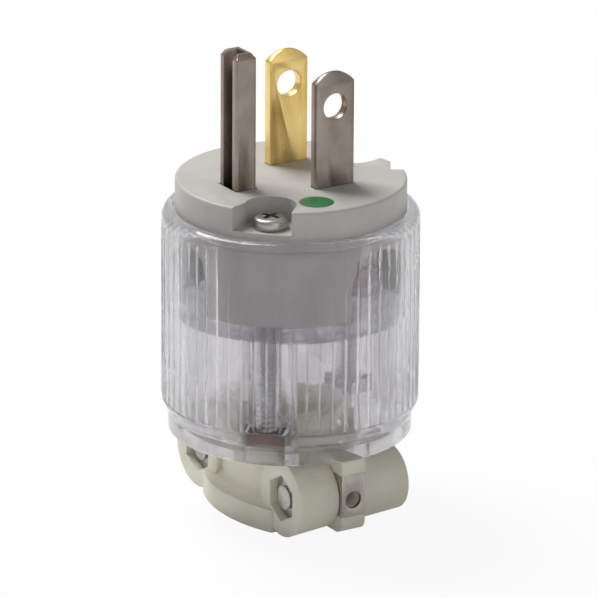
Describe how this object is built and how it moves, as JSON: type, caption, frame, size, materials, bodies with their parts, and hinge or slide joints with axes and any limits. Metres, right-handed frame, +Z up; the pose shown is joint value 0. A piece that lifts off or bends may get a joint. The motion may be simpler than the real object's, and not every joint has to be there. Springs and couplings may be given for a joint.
{
  "type": "three-pin mains plug",
  "caption": "Rewireable grounded mains plug with flat parallel blades, a U-shaped ground pin, a clear fluted cover, a grey front insulator and a beige two-screw cord clamp.",
  "frame": {"origin": "On the plug's axis, at the surface under the cord clamp that the plug stands on", "axes": "+Z runs up the plug's axis towards the blades, +X from the line blade to the neutral blade, and -Y to the ground pin"},
  "size_m": [0.0374, 0.0372, 0.0702],
  "materials": {
    "grey_plastic": "fine moulded satin",
    "green_enamel": "gloss paint in a shallow seat",
    "clear_plastic": "clear polished polycarbonate",
    "brass": "stamped, lightly drawn",
    "nickel_plate": "nickel plated, lightly drawn",
    "green_plate": "green dyed screw head",
    "steel": "zinc plated steel",
    "beige_plastic": "fine moulded satin"
  },
  "bodies": {
    "root": {"front_insulator": "grey_plastic", "face_dot": "green_enamel", "cover": "clear_plastic", "wire_separator": "clear_plastic", "line_blade": "brass", "neutral_blade": "nickel_plate", "ground_pin": "nickel_plate", "line_terminal_screw": "brass", "neutral_terminal_screw": "nickel_plate", "ground_terminal_screw": "green_plate", "line_pressure_plate": "brass", "neutral_pressure_plate": "nickel_plate", "ground_pressure_plate": "nickel_plate", "assembly_screws": "steel", "assembly_nuts": "brass", "clamp_base": "beige_plastic", "nut_jaw": "beige_plastic", "screw_jaw": "beige_plastic", "clamp_screws": "steel", "clamp_nuts": "steel", "line_side_strap": "nickel_plate", "neutral_side_strap": "nickel_plate"}
  },
  "joints": []
}
